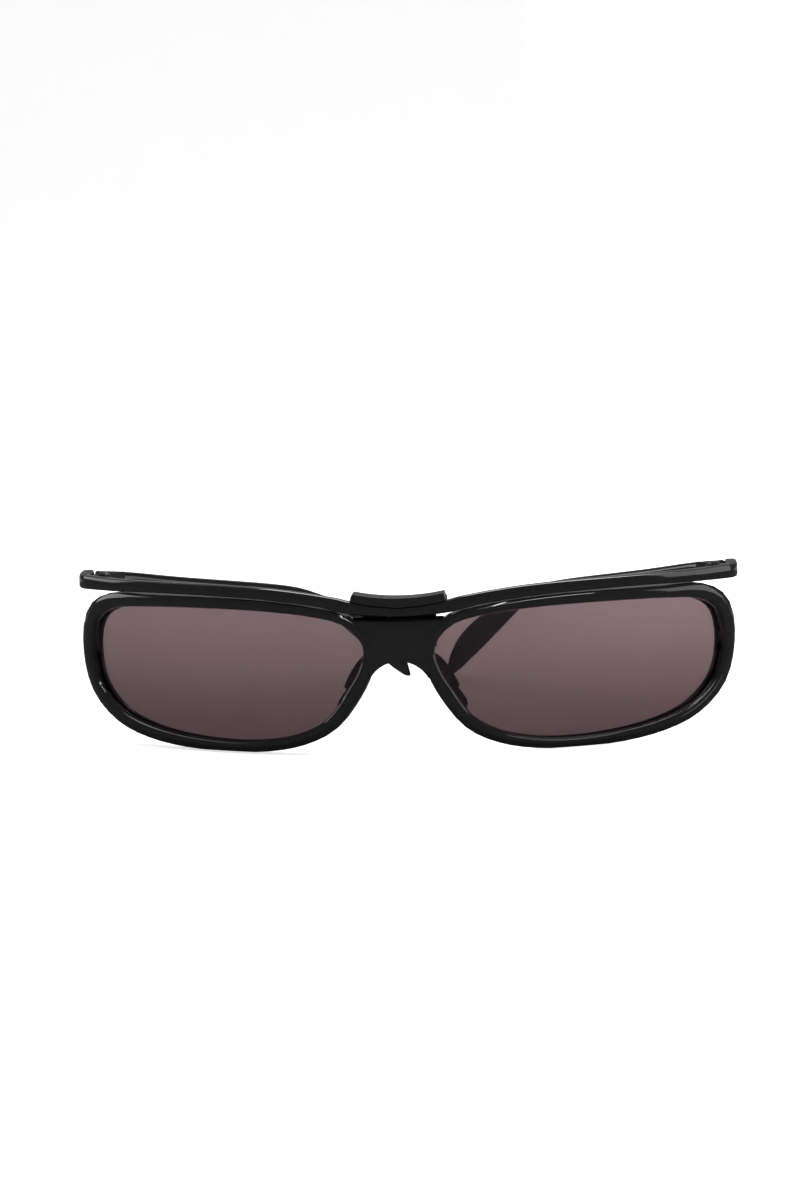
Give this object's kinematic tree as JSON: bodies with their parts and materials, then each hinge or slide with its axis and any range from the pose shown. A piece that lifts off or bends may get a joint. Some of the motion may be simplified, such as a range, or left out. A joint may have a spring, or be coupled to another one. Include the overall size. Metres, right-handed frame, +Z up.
{
  "type": "flip up sunglasses",
  "caption": "Wrap sunglasses with a fixed brow bar, tinted lenses in a frame that flips up on a centre hinge, soft nose pads and folding temples.",
  "frame": {"origin": "middle of the footprint, on the surface that the sunglasses stand on", "axes": "+Z up; the front looks along -Y; +X runs across the front, to the right as seen from the front"},
  "size_m": [0.1406, 0.1134, 0.0353],
  "materials": {
    "gloss_black": "glossy black moulding",
    "block_black": "satin black moulding",
    "tinted_lens": "mauve-brown tint, clear and smooth",
    "soft_pad": "soft matte",
    "hinge_steel": "tumbled",
    "dark_screw": "blackened"
  },
  "bodies": {
    "front": {"brow_bar": "gloss_black", "hinge_block": "block_black", "block_screws": "dark_screw", "detent_spring": "hinge_steel", "nose_piece": "block_black", "nose_screws": "dark_screw", "nose_pad_left": "soft_pad", "nose_pad_right": "soft_pad", "hinge_leaf_left": "hinge_steel", "hinge_leaf_right": "hinge_steel", "hinge_screw_left": "hinge_steel", "hinge_screw_right": "hinge_steel"},
    "flip_lenses": {"lens_frame": "gloss_black", "lens_left": "tinted_lens", "lens_right": "tinted_lens", "flip_pin": "hinge_steel"},
    "temple_l": {"temple_left": "gloss_black", "temple_leaf_left": "hinge_steel"},
    "temple_r": {"temple_right": "gloss_black", "temple_leaf_right": "hinge_steel"}
  },
  "joints": [
    {"name": "flip_up", "type": "hinge", "parent": "front", "child": "flip_lenses", "pos_m": [0, -0.05414, 0.0256], "axis": [-1, 0, 0], "range_deg": [0, 90]},
    {"name": "fold_right", "type": "hinge", "parent": "front", "child": "temple_r", "pos_m": [0.0654, -0.02329, 0.03315], "axis": [0, 0, 1], "range_deg": [-37.5, 48.5]},
    {"name": "fold_left", "type": "hinge", "parent": "front", "child": "temple_l", "pos_m": [-0.0654, -0.02329, 0.03315], "axis": [0, 0, -1], "range_deg": [-37.5, 55]}
  ]
}
